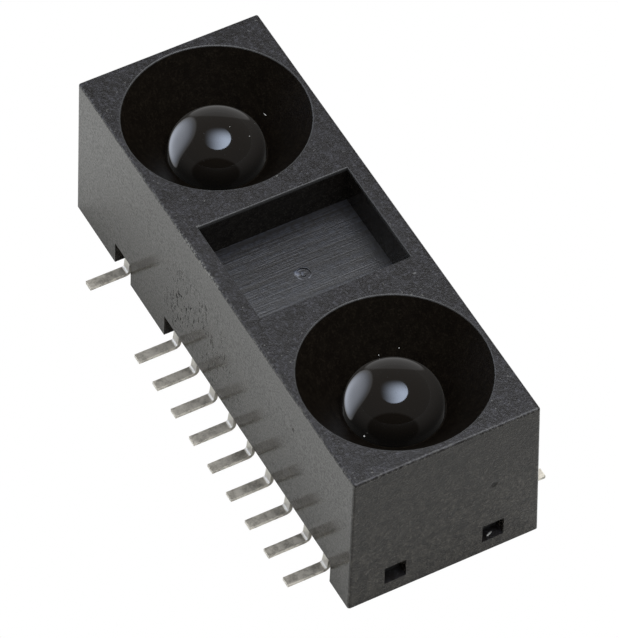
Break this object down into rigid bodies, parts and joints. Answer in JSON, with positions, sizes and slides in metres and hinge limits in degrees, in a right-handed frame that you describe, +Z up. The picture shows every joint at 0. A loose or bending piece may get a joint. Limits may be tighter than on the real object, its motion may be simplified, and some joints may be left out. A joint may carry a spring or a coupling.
{
  "type": "distance sensor",
  "caption": "Compact optical distance sensor: black case with two conical apertures, dark dome lenses, a recess between them and gull-wing solder leads along both long sides.",
  "frame": {"origin": "on the board plane, under the middle of the case", "axes": "+Z up, away from the board and out of the apertures; +X along the case towards the detector aperture; +Y across the case"},
  "size_m": [0.022, 0.011, 0.0072],
  "materials": {
    "case_plastic": "fine satin moulding, glass filled",
    "carrier_plastic": "fine satin moulding",
    "lens_resin": "polished, dark, passes infrared only",
    "tinned_lead": "matt tin plate",
    "chip": "polished silicon",
    "bond_wire": "bright gold",
    "clear_resin": "clear casting",
    "dark_resin": "dark casting"
  },
  "bodies": {
    "root": {"housing": "case_plastic", "carrier": "carrier_plastic", "emitter_lens": "lens_resin", "detector_lens": "lens_resin", "emitter_chip": "chip", "position_detector_chip": "chip", "control_chip": "chip", "emitter_wire": "bond_wire", "detector_wires": "bond_wire", "control_wires": "bond_wire", "emitter_resin": "clear_resin", "detector_resin": "clear_resin", "control_resin": "dark_resin", "lead_left_01": "tinned_lead", "lead_left_02": "tinned_lead", "lead_left_03": "tinned_lead", "lead_left_04": "tinned_lead", "lead_left_05": "tinned_lead", "lead_left_06": "tinned_lead", "lead_left_07": "tinned_lead", "lead_left_08": "tinned_lead", "lead_left_09": "tinned_lead", "lead_left_10": "tinned_lead", "lead_right_01": "tinned_lead", "lead_right_02": "tinned_lead", "lead_right_03": "tinned_lead", "lead_right_04": "tinned_lead", "lead_right_05": "tinned_lead", "lead_right_06": "tinned_lead", "lead_right_07": "tinned_lead", "lead_right_08": "tinned_lead", "lead_right_09": "tinned_lead", "lead_right_10": "tinned_lead"}
  },
  "joints": []
}
